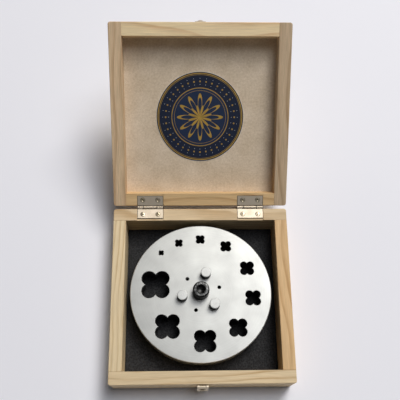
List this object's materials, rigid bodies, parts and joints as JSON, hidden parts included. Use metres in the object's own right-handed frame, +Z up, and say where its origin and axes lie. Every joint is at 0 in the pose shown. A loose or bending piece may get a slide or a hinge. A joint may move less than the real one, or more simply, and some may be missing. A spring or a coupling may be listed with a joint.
{
  "type": "disc cutter",
  "caption": "Jeweller's disc cutter with four-lobed openings: two round steel dies on guide pins, clamped by a centre screw, in its hinged wooden case lined with foam.",
  "frame": {"origin": "centre of the case's underside, on the surface that it stands on", "axes": "+Z up, +Y from the latch to the hinges, +X to the right seen from the latch side"},
  "size_m": [0.14, 0.2724, 0.1006],
  "materials": {
    "pine": "sanded pine, unvarnished",
    "floor_ply": "thin plywood",
    "hardboard": "smooth beige fibreboard",
    "foam": "soft black foam sheet",
    "label_paper": "printed label, semi-matt",
    "ground_steel": "surface-ground tool steel",
    "pin_steel": "hardened, fine-ground",
    "black_oxide": "black oxide, slightly oiled",
    "brass_plate": "bright brass-plated sheet",
    "screw_plate": "brass-plated small screws"
  },
  "bodies": {
    "case_base": {"base_front_wall": "pine", "base_back_wall": "pine", "base_left_wall": "pine", "base_right_wall": "pine", "base_floor": "floor_ply", "foam_liner": "foam", "hinge_left_base_leaf": "brass_plate", "hinge_right_base_leaf": "brass_plate", "hinge_left_pin": "pin_steel", "hinge_right_pin": "pin_steel", "hinge_screws_base": "screw_plate", "latch_plate": "brass_plate", "latch_pin": "pin_steel", "latch_plate_nails": "screw_plate"},
    "case_lid": {"lid_front_wall": "pine", "lid_back_wall": "pine", "lid_left_wall": "pine", "lid_right_wall": "pine", "lid_panel": "hardboard", "lid_label": "label_paper", "hinge_left_lid_leaf": "brass_plate", "hinge_right_lid_leaf": "brass_plate", "hinge_screws_lid": "screw_plate", "latch_keeper": "brass_plate", "latch_keeper_nails": "screw_plate"},
    "lever": {"latch_lever": "brass_plate"},
    "cutter_lower": {"lower_die": "ground_steel", "guide_pins": "pin_steel"},
    "cutter_upper": {"upper_die": "ground_steel"},
    "screw_seat": {"clamp_washer": "black_oxide"},
    "screw": {"clamp_screw": "black_oxide"}
  },
  "joints": [
    {"name": "lid_hinge", "type": "hinge", "parent": "case_base", "child": "case_lid", "pos_m": [0, 0.07115, 0.02615], "axis": [-1, 0, 0], "range_deg": [-148, 36]},
    {"name": "latch_swing", "type": "hinge", "parent": "case_base", "child": "lever", "pos_m": [0, -0.07175, 0.0241], "axis": [-1, 0, 0], "range_deg": [0, 172.18]},
    {"name": "cutter_lift", "type": "slide", "parent": "case_base", "child": "cutter_lower", "axis": [0, 0, 1], "range_m": [0, 0.06]},
    {"name": "die_opening", "type": "slide", "parent": "cutter_lower", "child": "cutter_upper", "axis": [0, 0, 1], "range_m": [0, 0.005]},
    {"name": "screw_withdraw", "type": "slide", "parent": "cutter_upper", "child": "screw_seat", "axis": [0, 0, 1], "range_m": [0, 0.0063]},
    {"name": "screw_turn", "type": "hinge", "parent": "screw_seat", "child": "screw", "pos_m": [-0.0003, 0.0015, 0.021], "axis": [0, 0, 1], "range_deg": [0, 1800]}
  ],
  "couplings": [
    {"joint": "screw_withdraw", "follows": "screw_turn", "m_per_rad": 0.00019894}
  ]
}
